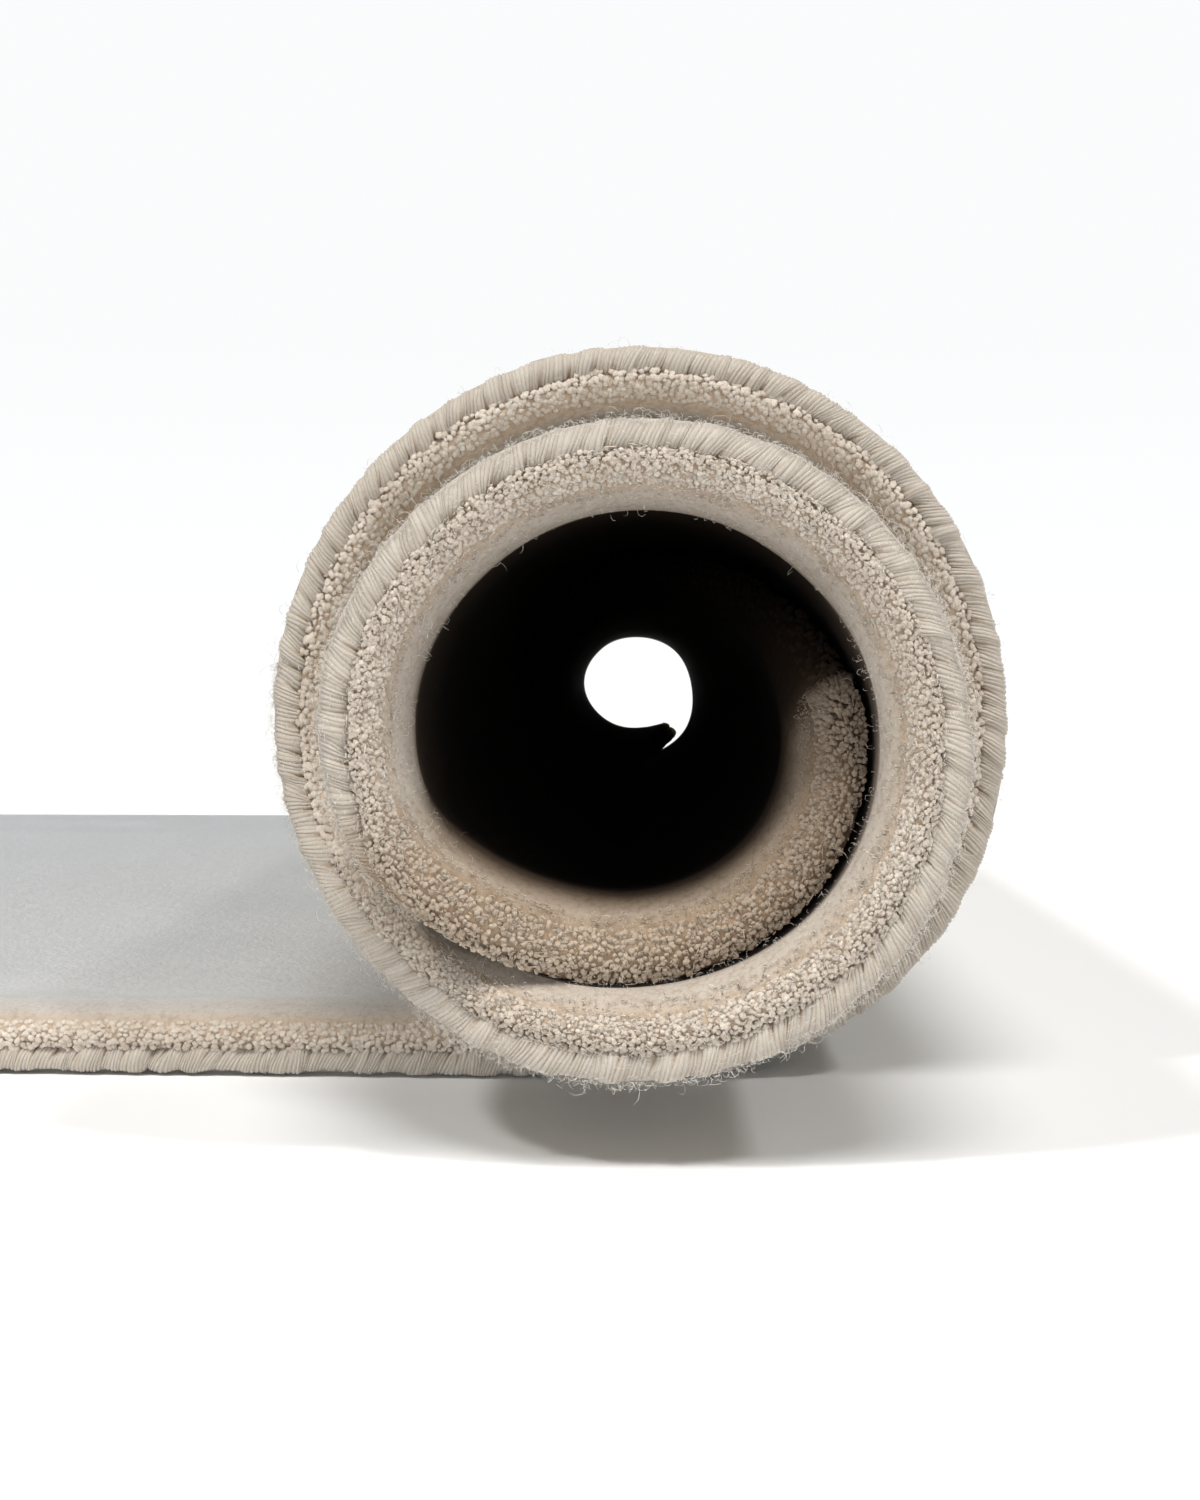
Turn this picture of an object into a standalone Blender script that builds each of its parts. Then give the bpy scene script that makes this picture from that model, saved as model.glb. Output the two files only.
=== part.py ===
# A hand-tufted wool rug, rolled pile inward, with its outer end lying flat on the floor.
# Metres, +Z up. The roll's axis runs along +Y and the flat tail runs off towards -X.
# The rug is worked out from the floor line under the roll, level with its foremost edge, and then
# moved so that the origin is on the floor under the middle of the whole rug.
import math

import bpy
import numpy as np

RUG_WIDTH = 0.70  # across the rug, so along the roll's axis
CORNER_RADIUS = 0.012  # the rug's four corners are cut a little round
SERGING_WIDTH = 0.0058  # how far the overcast edge reaches in from the rug's rim
SERGING_HEIGHT = 0.0055  # its top above the rug's underside
PIECE_GAP = 0.0003

TAIL_NEAR = 0.615  # floor from the roll's lowest line to the tail's end, at the near side
TAIL_FAR = 0.530
TAIL_SKEW = 0.05  # how much further back the near edge lies for each metre along the tail

ROLL_STEP = 9.0  # degrees of roll to a row of the mesh
END_ROWS = 24  # rows that fan out between the last straight row and the slanting inner end
CORNER_ROWS = 3
FLOOR_ANGLE = -90.0  # the roll touches the floor here; angles run anticlockwise from +X
FAN_ANGLE = 675.0  # the last row that lies along the axis
FULL_DEPTH = 0.78  # where the far radius holds

# One row for each stretch of the winding, from the floor inwards. The radii are those of the
# underside from the roll's middle, at the near and at the far end; setback is how far the near
# edge stands behind the foremost one; thickness is the pile and backing, less where it is pressed.
WINDING = [
    # angle, near_radius, far_radius, setback, thickness
    (-90.0, 0.0778, 0.0875, 0.088, 0.0145),
    (-67.5, 0.0790, 0.0888, 0.088, 0.0145),
    (-45.0, 0.0794, 0.0890, 0.087, 0.0145),
    (0.0, 0.0762, 0.0868, 0.082, 0.0145),
    (45.0, 0.0750, 0.0858, 0.076, 0.0145),
    (90.0, 0.0741, 0.0856, 0.069, 0.0145),
    (135.0, 0.0734, 0.0856, 0.064, 0.0145),
    (180.0, 0.0729, 0.0858, 0.058, 0.0144),
    (205.0, 0.0705, 0.0846, 0.045, 0.0130),
    (225.0, 0.0664, 0.0812, 0.021, 0.0125),
    (245.0, 0.0643, 0.0765, 0.006, 0.0138),
    (270.0, 0.0628, 0.0724, 0.001, 0.0145),
    (315.0, 0.0608, 0.0700, 0.000, 0.0145),
    (360.0, 0.0570, 0.0655, 0.000, 0.0145),
    (405.0, 0.0536, 0.0640, 0.000, 0.0145),
    (450.0, 0.0522, 0.0630, 0.000, 0.0145),
    (495.0, 0.0532, 0.0625, 0.000, 0.0145),
    (540.0, 0.0562, 0.0622, 0.000, 0.0145),
    (565.0, 0.0556, 0.0618, 0.001, 0.0142),
    (585.0, 0.0516, 0.0605, 0.004, 0.0140),
    (605.0, 0.0489, 0.0575, 0.009, 0.0140),
    (630.0, 0.0476, 0.0520, 0.015, 0.0140),
    (675.0, 0.0452, 0.0462, 0.020, 0.0140),
    (720.0, 0.0418, 0.0390, 0.028, 0.0140),
    (765.0, 0.0385, 0.0374, 0.030, 0.0140),
    (810.0, 0.0366, 0.0374, 0.030, 0.0140),
    (855.0, 0.0362, 0.0412, 0.030, 0.0140),
    (900.0, 0.0380, 0.0442, 0.030, 0.0140),
    (945.0, 0.0365, 0.0410, 0.030, 0.0140),
    (990.0, 0.0325, 0.0370, 0.030, 0.0138),
    (1035.0, 0.0305, 0.0312, 0.030, 0.0105),
    (1080.0, 0.0290, 0.0290, 0.030, 0.0095),
]

# Where the rug's inner end stops, by distance across the rug from its near edge.
INNER_END = [
    # across, angle
    (0.000, 724.0),
    (0.060, 762.0),
    (0.130, 802.0),
    (0.250, 850.0),
    (0.400, 903.0),
    (0.550, 975.0),
    (0.700, 1030.0),
]

# Lines along the rug between its two sides, as fractions of the width.
ACROSS_LINES = [0.0, 0.03, 0.09, 0.18, 0.32, 0.47, 0.62, 0.78, 0.91, 1.0]

# The rug's rim from the underside up to the pile's top: how far in from the edge, and how high.
# The height is a share of the thickness that stands above the serging.
RIM = [
    # inset, height_above_serging
    (0.0012, 0.00),
    (0.0000, 0.30),
    (0.0012, 0.75),
    (0.0040, 1.00),
]

# The overcast edge in section, as shares of its width and height. Its round underside stays
# just off the floor.
SERGING_SECTION = [
    # inset, height
    (1.00, 0.05),
    (0.28, 0.05),
    (0.00, 0.30),
    (0.00, 0.75),
    (0.22, 1.00),
    (1.00, 1.00),
]

PILE_COLOUR = (0.60, 0.52, 0.43, 1.0)
SERGING_COLOUR = (0.66, 0.60, 0.53, 1.0)


def column(table, index):
    return np.array([row[index] for row in table])


def smooth_between(knots, values, at):
    """A smooth curve through a table's values: cubic pieces that share their slopes."""
    slopes = np.gradient(values, knots)
    low = np.clip(np.searchsorted(knots, at, side="right") - 1, 0, len(knots) - 2)
    span = knots[low + 1] - knots[low]
    t = np.clip((at - knots[low]) / span, 0.0, 1.0)
    rise = (
        (2 * t**3 - 3 * t**2 + 1) * values[low]
        + (t**3 - 2 * t**2 + t) * span * slopes[low]
        + (3 * t**2 - 2 * t**3) * values[low + 1]
        + (t**3 - t**2) * span * slopes[low + 1]
    )
    return rise


ANGLES = column(WINDING, 0)


def winding(name, angle):
    index = {"near_radius": 1, "far_radius": 2, "setback": 3, "thickness": 4}[name]
    return smooth_between(ANGLES, column(WINDING, index), angle)


def length_table():
    """How far along the rug each angle lies, measured from the floor line at mid-thickness."""
    angles = np.arange(FLOOR_ANGLE, ANGLES[-1] + 1.0, 1.0)
    radius = winding("near_radius", angles) - winding("thickness", angles) / 2
    steps = (radius[1:] + radius[:-1]) / 2 * math.radians(1.0)
    return angles, np.concatenate([[0.0], np.cumsum(steps)])


ROLL_ANGLES, ROLL_LENGTHS = length_table()


def along_of(angle):
    return np.interp(angle, ROLL_ANGLES, ROLL_LENGTHS)


def tail_end(across):
    return -(TAIL_NEAR + (TAIL_FAR - TAIL_NEAR) * across / RUG_WIDTH)


def inner_end(across):
    return along_of(smooth_between(column(INNER_END, 0), column(INNER_END, 1), across))


def underside(along, across):
    """Where a point of the flat rug's underside lies once it is rolled: x, y, z."""
    angle = np.interp(along, ROLL_LENGTHS, ROLL_ANGLES)
    in_tail = along < 0.0
    setback = winding("setback", angle) - TAIL_SKEW * np.minimum(along, 0.0)
    y = setback + across
    depth = np.clip(y / FULL_DEPTH, 0.0, 1.0)
    near, far = winding("near_radius", angle), winding("far_radius", angle)
    radius = near + (far - near) * depth
    first_near, first_far = WINDING[0][1], WINDING[0][2]
    middle = first_near + (first_far - first_near) * depth
    turn = np.radians(angle)
    x = np.where(in_tail, along, radius * np.cos(turn))
    z = np.where(in_tail, 0.0, middle + radius * np.sin(turn))
    return x, y, z


def rolled(along, across, height):
    """The same for a point at a height above the underside, square to the rolled cloth."""
    x, y, z = underside(along, across)
    step = 0.0008
    x_before, _, z_before = underside(along - step, across)
    x_after, _, z_after = underside(along + step, across)
    size = np.hypot(x_after - x_before, z_after - z_before)
    side_x, side_z = -(z_after - z_before) / size, (x_after - x_before) / size
    return np.stack([x + height * side_x, y, z + height * side_z], axis=-1)


def thickness_at(along):
    return winding("thickness", np.interp(along, ROLL_LENGTHS, ROLL_ANGLES))


def row_places(inset):
    """For each row of the mesh: the function that places it along the rug, and how far its two
    ends are drawn in from the rug's sides to follow the round corners."""
    radius = max(CORNER_RADIUS - inset, 0.001)
    bends = np.radians(np.linspace(0.0, 90.0, CORNER_ROWS + 1))
    corner_along = radius * (1.0 - np.cos(bends))
    corner_across = radius * (1.0 - np.sin(bends))
    roll_angles = np.arange(FLOOR_ANGLE, FAN_ANGLE + 0.1, ROLL_STEP)
    places, drawn = [], []

    def from_tail(distance):
        return lambda across: tail_end(across) + inset + distance

    def tail_share(share):
        return lambda across: (tail_end(across) + inset + radius) * (1.0 - share)

    def straight(angle):
        return lambda across: np.full_like(across, along_of(angle))

    def fanned(share):
        start = along_of(FAN_ANGLE)
        return lambda across: start + share * (inner_end(across) - inset - radius - start)

    def from_inner(distance):
        return lambda across: inner_end(across) - inset - distance

    for along_step, across_step in zip(corner_along, corner_across):
        places.append(from_tail(along_step))
        drawn.append(across_step)
    places.append(tail_share(0.5))
    drawn.append(0.0)
    for angle in roll_angles:
        places.append(straight(angle))
        drawn.append(0.0)
    for row in range(1, END_ROWS + 1):
        places.append(fanned(row / END_ROWS))
        drawn.append(0.0)
    for along_step, across_step in zip(corner_along[-2::-1], corner_across[-2::-1]):
        places.append(from_inner(along_step))
        drawn.append(across_step)
    return places, np.array(drawn) + inset


def sheet_grid(inset):
    """Flat places of the mesh's rows and lines, drawn in from the rim: along, across."""
    places, drawn = row_places(inset)
    lines = np.array(ACROSS_LINES)
    across = drawn[:, None] + (RUG_WIDTH - 2 * drawn[:, None]) * lines[None, :]
    along = np.stack([place(row) for place, row in zip(places, across)])
    return along, across


def rim_order(rows, lines):
    """The grid's outer points in order round the rug, as rows and lines."""
    near = [(row, 0) for row in range(rows)]
    inner = [(rows - 1, line) for line in range(1, lines)]
    far = [(row, lines - 1) for row in range(rows - 2, -1, -1)]
    tail = [(0, line) for line in range(lines - 2, 0, -1)]
    order = np.array(near + inner + far + tail)
    return order[:, 0], order[:, 1]


def rim_ring(inset, height_at):
    along, across = sheet_grid(inset)
    rows, lines = rim_order(*along.shape)
    along, across = along[rows, lines], across[rows, lines]
    return rolled(along, across, height_at(along))


def make_object(name, points, faces, colour, roughness):
    mesh = bpy.data.meshes.new(name)
    mesh.from_pydata(points.tolist(), [], faces)
    mesh.validate()
    material = bpy.data.materials.new(name)
    material.use_nodes = True
    shader = material.node_tree.nodes["Principled BSDF"]
    shader.inputs["Base Color"].default_value = colour
    shader.inputs["Roughness"].default_value = roughness
    shader.inputs["Metallic"].default_value = 0.0
    mesh.materials.append(material)
    mesh.shade_smooth()
    mesh.set_sharp_from_angle(angle=math.radians(40.0))
    made = bpy.data.objects.new(name, mesh)
    bpy.context.scene.collection.objects.link(made)
    return made


def split_quad(a, b, c, d):
    return [(a, b, c), (a, c, d)]


def band_faces(first_ring, second_ring, split_from_next=False):
    """Faces between two rings of points that go round the same way. Both pieces split a quad from
    its lower inner corner, or their twisted faces would cross where they lie side by side."""
    faces = []
    count = len(first_ring)
    for here in range(count):
        after = (here + 1) % count
        corners = [first_ring[here], first_ring[after], second_ring[after], second_ring[here]]
        if split_from_next:
            corners = corners[1:] + corners[:1]
        faces += split_quad(*corners)
    return faces


def cap_faces(index, upward):
    faces = []
    rows, lines = index.shape
    for row in range(rows - 1):
        for line in range(lines - 1):
            corners = (
                index[row, line],
                index[row + 1, line],
                index[row + 1, line + 1],
                index[row, line + 1],
            )
            faces += split_quad(*(corners if upward else corners[::-1]))
    return faces


def rug_body():
    """Underside, stepped rim that leaves room for the serging, rounded pile edge and pile top."""
    step_inset = SERGING_WIDTH + PIECE_GAP
    step_height = SERGING_HEIGHT + PIECE_GAP
    under_along, under_across = sheet_grid(step_inset)
    under = rolled(under_along, under_across, np.zeros_like(under_along))
    top_inset = RIM[-1][0]
    top_along, top_across = sheet_grid(top_inset)
    top = rolled(top_along, top_across, thickness_at(top_along))
    rows, lines = under_along.shape
    rim_rows, rim_lines = rim_order(rows, lines)

    points = [under.reshape(-1, 3), top.reshape(-1, 3)]
    under_index = np.arange(rows * lines).reshape(rows, lines)
    top_index = under_index + rows * lines
    start = 2 * rows * lines
    rings = [under_index[rim_rows, rim_lines]]
    sides = [(step_inset, 0.0)] + RIM[:-1]
    for inset, share in sides:
        ring = rim_ring(
            inset,
            lambda along, share=share: step_height + share * (thickness_at(along) - step_height),
        )
        points.append(ring)
        rings.append(np.arange(start, start + len(ring)))
        start += len(ring)
    rings.append(top_index[rim_rows, rim_lines])

    faces = cap_faces(under_index, upward=False) + cap_faces(top_index, upward=True)
    for lower, upper in zip(rings, rings[1:]):
        faces += band_faces(lower, upper)
    return make_object(
        "rug", np.concatenate(points), [tuple(map(int, face)) for face in faces], PILE_COLOUR, 0.95
    )


def edge_serging():
    """The overcast edge: one section carried all the way round the rug's rim."""
    points, rings, start = [], [], 0
    for inset_share, height_share in SERGING_SECTION:
        height = SERGING_HEIGHT * height_share
        ring = rim_ring(
            SERGING_WIDTH * inset_share, lambda along, height=height: np.full_like(along, height)
        )
        points.append(ring)
        rings.append(np.arange(start, start + len(ring)))
        start += len(ring)
    faces = []
    for here, ring in enumerate(rings):
        faces += band_faces(ring, rings[(here + 1) % len(rings)], split_from_next=True)
    return make_object(
        "edge_serging",
        np.concatenate(points),
        [tuple(map(int, face)) for face in faces],
        SERGING_COLOUR,
        0.85,
    )


def centre_on_floor(pieces):
    corners = np.array([corner[:] for piece in pieces for corner in piece.bound_box])
    middle = (corners.min(axis=0) + corners.max(axis=0)) / 2
    for piece in pieces:
        piece.location = (-middle[0], -middle[1], 0.0)


def main():
    for old in list(bpy.data.objects):
        bpy.data.objects.remove(old, do_unlink=True)
    centre_on_floor([rug_body(), edge_serging()])


main()
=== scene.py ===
import math
import bpy
import numpy as np
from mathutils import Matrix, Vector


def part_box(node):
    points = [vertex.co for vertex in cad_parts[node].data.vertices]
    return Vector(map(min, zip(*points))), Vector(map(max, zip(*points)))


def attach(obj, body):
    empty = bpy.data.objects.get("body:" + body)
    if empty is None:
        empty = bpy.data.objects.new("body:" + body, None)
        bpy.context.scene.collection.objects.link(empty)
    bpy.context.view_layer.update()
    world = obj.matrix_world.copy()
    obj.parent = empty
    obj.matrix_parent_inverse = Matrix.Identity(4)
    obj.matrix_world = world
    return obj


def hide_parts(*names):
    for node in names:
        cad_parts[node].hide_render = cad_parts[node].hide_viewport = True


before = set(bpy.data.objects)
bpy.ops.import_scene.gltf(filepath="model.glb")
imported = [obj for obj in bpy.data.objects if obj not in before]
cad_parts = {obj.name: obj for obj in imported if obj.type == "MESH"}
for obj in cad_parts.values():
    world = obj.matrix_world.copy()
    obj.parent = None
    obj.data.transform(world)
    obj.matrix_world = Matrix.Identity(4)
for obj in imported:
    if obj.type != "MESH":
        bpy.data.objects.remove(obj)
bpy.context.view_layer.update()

# A hand-tufted wool rug rolled pile inward, its outer end lying flat. Everything is worked out
# on the flat rug, as a place along it, a place across it and a height above its underside,
# and then carried onto the roll.

rugShape = {
    "width": 0.7,
    "cornerRadius": 0.012,
    "tailNear": 0.615,
    "tailFar": 0.53,
    "tailSkew": 0.05,
    "fullDepth": 0.78,
    "fanAngle": 675.0,
}

# degrees of roll, underside radius at the near end, at the far end, setback of the near edge, thickness
windingRows = np.array([
    (-90, 0.0778, 0.0875, 0.088, 0.0145), (-67.5, 0.079, 0.0888, 0.088, 0.0145),
    (-45, 0.0794, 0.089, 0.087, 0.0145), (0, 0.0762, 0.0868, 0.082, 0.0145),
    (45, 0.075, 0.0858, 0.076, 0.0145), (90, 0.0741, 0.0856, 0.069, 0.0145),
    (135, 0.0734, 0.0856, 0.064, 0.0145), (180, 0.0729, 0.0858, 0.058, 0.0144),
    (205, 0.0705, 0.0846, 0.045, 0.013), (225, 0.0664, 0.0812, 0.021, 0.0125),
    (245, 0.0643, 0.0765, 0.006, 0.0138), (270, 0.0628, 0.0724, 0.001, 0.0145),
    (315, 0.0608, 0.07, 0, 0.0145), (360, 0.057, 0.0655, 0, 0.0145),
    (405, 0.0536, 0.064, 0, 0.0145), (450, 0.0522, 0.063, 0, 0.0145),
    (495, 0.0532, 0.0625, 0, 0.0145), (540, 0.0562, 0.0622, 0, 0.0145),
    (565, 0.0556, 0.0618, 0.001, 0.0142), (585, 0.0516, 0.0605, 0.004, 0.014),
    (605, 0.0489, 0.0575, 0.009, 0.014), (630, 0.0476, 0.052, 0.015, 0.014),
    (675, 0.0452, 0.0462, 0.02, 0.014), (720, 0.0418, 0.039, 0.028, 0.014),
    (765, 0.0385, 0.0374, 0.03, 0.014), (810, 0.0366, 0.0374, 0.03, 0.014),
    (855, 0.0362, 0.0412, 0.03, 0.014), (900, 0.038, 0.0442, 0.03, 0.014),
    (945, 0.0365, 0.041, 0.03, 0.014), (990, 0.0325, 0.037, 0.03, 0.0138),
    (1035, 0.0305, 0.0312, 0.03, 0.0105), (1080, 0.029, 0.029, 0.03, 0.0095),
])

# across the rug, degrees of roll at which its inner end stops
innerEndRows = np.array([
    (0, 724), (0.06, 762), (0.13, 802), (0.25, 850),
    (0.4, 903), (0.55, 975), (0.7, 1030),
])


# A smooth curve through a table: cubic pieces that share their slopes at the knots, each knot's
# slope being that of the line between its neighbours.
def smoothBetween(knots, values, at):
    slopes = np.gradient(values, knots)
    low = np.clip(np.searchsorted(knots, at, side="right") - 1, 0, len(knots) - 2)
    span = knots[low + 1] - knots[low]
    t = np.clip((at - knots[low]) / span, 0.0, 1.0)
    return (
        (2 * t**3 - 3 * t**2 + 1) * values[low]
        + (t**3 - 2 * t**2 + t) * span * slopes[low]
        + (3 * t**2 - 2 * t**3) * values[low + 1]
        + (t**3 - t**2) * span * slopes[low + 1]
    )


# Columns of the winding sampled once, every quarter degree, so that big grids are quick.
fineStep = 0.25
fineAngles = np.arange(-90.0, 1080.1, fineStep)
fineNear, fineFar, fineSetback, fineThick = (
    smoothBetween(windingRows[:, 0], windingRows[:, column], fineAngles) for column in (1, 2, 3, 4)
)
midRadius = fineNear - fineThick / 2
fineArcs = (midRadius[1:] + midRadius[:-1]) / 2 * math.radians(fineStep)
fineAlong = np.concatenate([[0.0], np.cumsum(fineArcs)])


# The length of rug rolled up by an angle: the sum of radius times turn in the middle of the cloth.
def alongOf(angle):
    return np.interp(angle, fineAngles, fineAlong)


# Where the flat end stops: a straight slant from the near length to the far one.
def tailEnd(across):
    share = across / rugShape["width"]
    return -(rugShape["tailNear"] + (rugShape["tailFar"] - rugShape["tailNear"]) * share)


# Where the rolled end stops: the length up to the angle in its table.
def innerEnd(across):
    return alongOf(smoothBetween(innerEndRows[:, 0], innerEndRows[:, 1], across))


# The rug's thickness and the degrees of roll, straight between the table's fine samples.
def thicknessAt(along):
    return np.interp(along, fineAlong, fineThick)


def angleAt(along):
    return np.interp(along, fineAlong, fineAngles)


# The underside of the rolled rug: a circle whose radius shrinks with the angle, and grows a
# little towards the far end; before the floor line it is simply flat.
def underside(along, across):
    setback = np.interp(along, fineAlong, fineSetback) - rugShape["tailSkew"] * np.minimum(along, 0.0)
    y = setback + across
    depth = np.clip(y / rugShape["fullDepth"], 0.0, 1.0)
    near, far = np.interp(along, fineAlong, fineNear), np.interp(along, fineAlong, fineFar)
    radius = near + (far - near) * depth
    middle = fineNear[0] + (fineFar[0] - fineNear[0]) * depth
    turn = np.radians(angleAt(along))
    x = np.where(along < 0.0, along, radius * np.cos(turn))
    z = np.where(along < 0.0, 0.0, middle + radius * np.sin(turn))
    return x, y, z


slopeStep = 0.0008  # between the places from which the cloth's direction is taken


# The same at a height above the underside: the height times the unit vector square to the
# cloth, in the roll's own section.
def rolled(along, across, height):
    x, y, z = underside(along, across)
    xBack, _, zBack = underside(along - slopeStep, across)
    xOn, _, zOn = underside(along + slopeStep, across)
    size = np.hypot(xOn - xBack, zOn - zBack)
    outX, outZ = -(zOn - zBack) / size, (xOn - xBack) / size
    return np.stack([x + height * outX, y, z + height * outZ], axis=-1)


# How far the roll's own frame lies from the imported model's: the boxes agree on the right and
# share their middle from front to back.
def findShift():
    across = np.linspace(0.0, rugShape["width"], 60)[:, None]
    share = np.linspace(0.0, 1.0, 1500)
    along = tailEnd(across) + share * (innerEnd(across) - tailEnd(across))
    x, y, _ = underside(along, np.broadcast_to(across, along.shape))
    rugLow, rugHigh = (np.array(corner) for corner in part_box("rug"))
    return np.array([
        rugHigh[0] - x.max(),
        (rugLow[1] + rugHigh[1]) / 2 - (y.min() + y.max()) / 2,
        0.0,
    ])


frameShift = findShift()
print("frame shift", frameShift.round(5).tolist())


lineLattice, planeLattice = 4099, 257


# Soft random values on a line or a plane: random numbers at the corners of cells, and between
# them their mean, weighted by three t squared less two t cubed.
def softNoise(places, cell, seed, second=None):
    random = np.random.default_rng(seed)
    if second is None:
        lattice = random.uniform(-1.0, 1.0, lineLattice)
        at = places / cell
        low = np.floor(at).astype(int)
        t = at - low
        t = t * t * (3 - 2 * t)
        return lattice[low % lineLattice] * (1 - t) + lattice[(low + 1) % lineLattice] * t
    lattice = random.uniform(-1.0, 1.0, (planeLattice, planeLattice))
    lowA, lowB = np.floor(places / cell).astype(int), np.floor(second / cell).astype(int)
    a, b = places / cell - lowA, second / cell - lowB
    a, b = a * a * (3 - 2 * a), b * b * (3 - 2 * b)
    corner = [
        [lattice[(lowA + i) % planeLattice, (lowB + j) % planeLattice] for j in (0, 1)] for i in (0, 1)
    ]
    return (
        (corner[0][0] * (1 - a) + corner[1][0] * a) * (1 - b)
        + (corner[0][1] * (1 - a) + corner[1][1] * a) * b
    )


# The rug's rim as one closed path on the flat rug: near side, inner end, far side, tail end,
# with a quarter circle at each corner. Each point also knows which way is inward.
def makeRimPath():
    width, corner = rugShape["width"], rugShape["cornerRadius"]
    step = 0.0005

    def side(*parts):
        return np.stack(np.broadcast_arrays(*parts))

    def bend(middleAlong, middleAcross, fromAngle):
        turn = np.radians(np.linspace(fromAngle, fromAngle + 90.0, 24))
        outAlong, outAcross = np.cos(turn), np.sin(turn)
        return side(middleAlong + corner * outAlong, middleAcross + corner * outAcross, -outAlong, -outAcross)

    nearEnd, farEnd = innerEnd(np.array([corner, width - corner]))
    nearTail, farTail = tailEnd(np.array([corner, width - corner]))
    nearSide = np.arange(nearTail + corner, nearEnd - corner, step)
    endAcross = np.arange(corner + step, width - corner, step)
    farSide = np.arange(farEnd - corner - step, farTail + corner, -step)
    tailAcross = np.arange(width - corner - step, corner, -step)
    path = np.concatenate([
        side(nearSide, 0.0, 0.0, 1.0),
        bend(nearEnd - corner, corner, -90.0),
        side(innerEnd(endAcross), endAcross, -1.0, 0.0),
        bend(farEnd - corner, width - corner, 0.0),
        side(farSide, width, 0.0, -1.0),
        bend(farTail + corner, width - corner, 90.0),
        side(tailEnd(tailAcross), tailAcross, 1.0, 0.0),
        bend(nearTail + corner, corner, 180.0),
    ], axis=1)
    gaps = np.hypot(np.diff(path[0]), np.diff(path[1]))
    distance = np.concatenate([[0.0], np.cumsum(gaps)])
    lengths = {"length": distance[-1], "nearLength": nearSide[-1] - nearSide[0], "start": nearSide[0]}
    return {"distance": distance, "points": path, **lengths}


rimPath = makeRimPath()


# A place beside the rim: the rim's point so far round, plus the inset times its inward direction.
def besideRim(distance, inset):
    d = np.mod(distance, rimPath["length"])
    along, across, inAlong, inAcross = (np.interp(d, rimPath["distance"], row) for row in rimPath["points"])
    return along + inset * inAlong, across + inset * inAcross


# The same carried onto the roll, at a height.
def placeByRim(distance, inset, height):
    along, across = besideRim(distance, inset)
    return rolled(along, across, height)


# 0 up to a start, 1 beyond the start plus a span, and straight between; a span below nothing
# makes it fall instead.
def rise(value, start, span):
    return np.clip((value - start) / span, 0.0, 1.0)


# Vectors divided by their own lengths.
def unitOf(vectors):
    return vectors / (np.linalg.norm(vectors, axis=-1, keepdims=True) + 1e-12)


# A mesh piece from whole arrays: one array of faces for each number of corners.
def addPiece(name, points, faces, materials, uv=None, shades=None):
    mesh = bpy.data.meshes.new(name)
    faceArray = [np.asarray(part, dtype=np.int32) for part in faces]
    points = np.asarray(points, dtype=np.float64).reshape(-1, 3) + frameShift
    loops = np.concatenate([part.ravel() for part in faceArray])
    sizes = np.concatenate([np.full(len(part), part.shape[1]) for part in faceArray])
    mesh.vertices.add(len(points))
    mesh.vertices.foreach_set("co", points.astype(np.float32).ravel())
    mesh.loops.add(len(loops))
    mesh.loops.foreach_set("vertex_index", loops.astype(np.int32))
    mesh.polygons.add(len(sizes))
    starts = np.concatenate([[0], np.cumsum(sizes)[:-1]])
    mesh.polygons.foreach_set("loop_start", starts.astype(np.int32))
    mesh.update(calc_edges=True)
    mesh.polygons.foreach_set("use_smooth", np.full(len(sizes), True))
    if uv is not None:
        layer = mesh.uv_layers.new(name="flat")
        layer.data.foreach_set("uv", uv[loops].astype(np.float32).ravel())
    for shadeName, values in (shades or {}).items():
        isColour = values.ndim == 2
        if isColour:
            values = np.concatenate([values, np.ones((len(values), 1))], axis=1)
        layer = mesh.attributes.new(shadeName, "FLOAT_COLOR" if isColour else "FLOAT", "POINT")
        layer.data.foreach_set("color" if isColour else "value", values.astype(np.float32).ravel())
    for material in materials:
        mesh.materials.append(material)
    piece = bpy.data.objects.new(name, mesh)
    bpy.context.scene.collection.objects.link(piece)
    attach(piece, "root")
    print(name, "faces", len(sizes), "triangles", int((sizes - 2).sum()))
    return piece


# Quads of a grid whose second direction may close on itself.
def gridFaces(rows, lines, closeLines=False, start=0, flip=False):
    index = start + np.arange(rows * lines).reshape(rows, lines)
    if closeLines:
        index = np.concatenate([index, index[:, :1]], axis=1)
    quads = np.stack([index[:-1, :-1], index[1:, :-1], index[1:, 1:], index[:-1, 1:]], axis=-1)
    quads = quads.reshape(-1, 4)
    return quads[:, ::-1] if flip else quads


# Points of rings round lines: the line's point plus a reach times the cosine and the sine of
# the turn, along two directions square to the line.
def ringsRound(line, sideA, sideB, reachA, reachB, turn):
    wave = (reachA * np.cos(turn))[..., None] * sideA + (reachB * np.sin(turn))[..., None] * sideB
    return line[:, :, None, :] + wave


# Many closed tubes at once: the quads of one and the triangles that close its ends, repeated
# at steps of its number of points.
def tubeFaces(count, perTube, rings, sides, ends):
    quads = np.roll(gridFaces(rings, sides, closeLines=True, flip=True), 1, axis=1)
    offsets = (np.arange(count) * perTube)[:, None, None]
    return [(quads + offsets).reshape(-1, 4), (ends + offsets).reshape(-1, 3)]


# Materials are small node trees. The helpers below each add one step and give back its socket.


# One socket joined to another.
def join(source, target):
    target.id_data.links.new(source, target)


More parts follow.
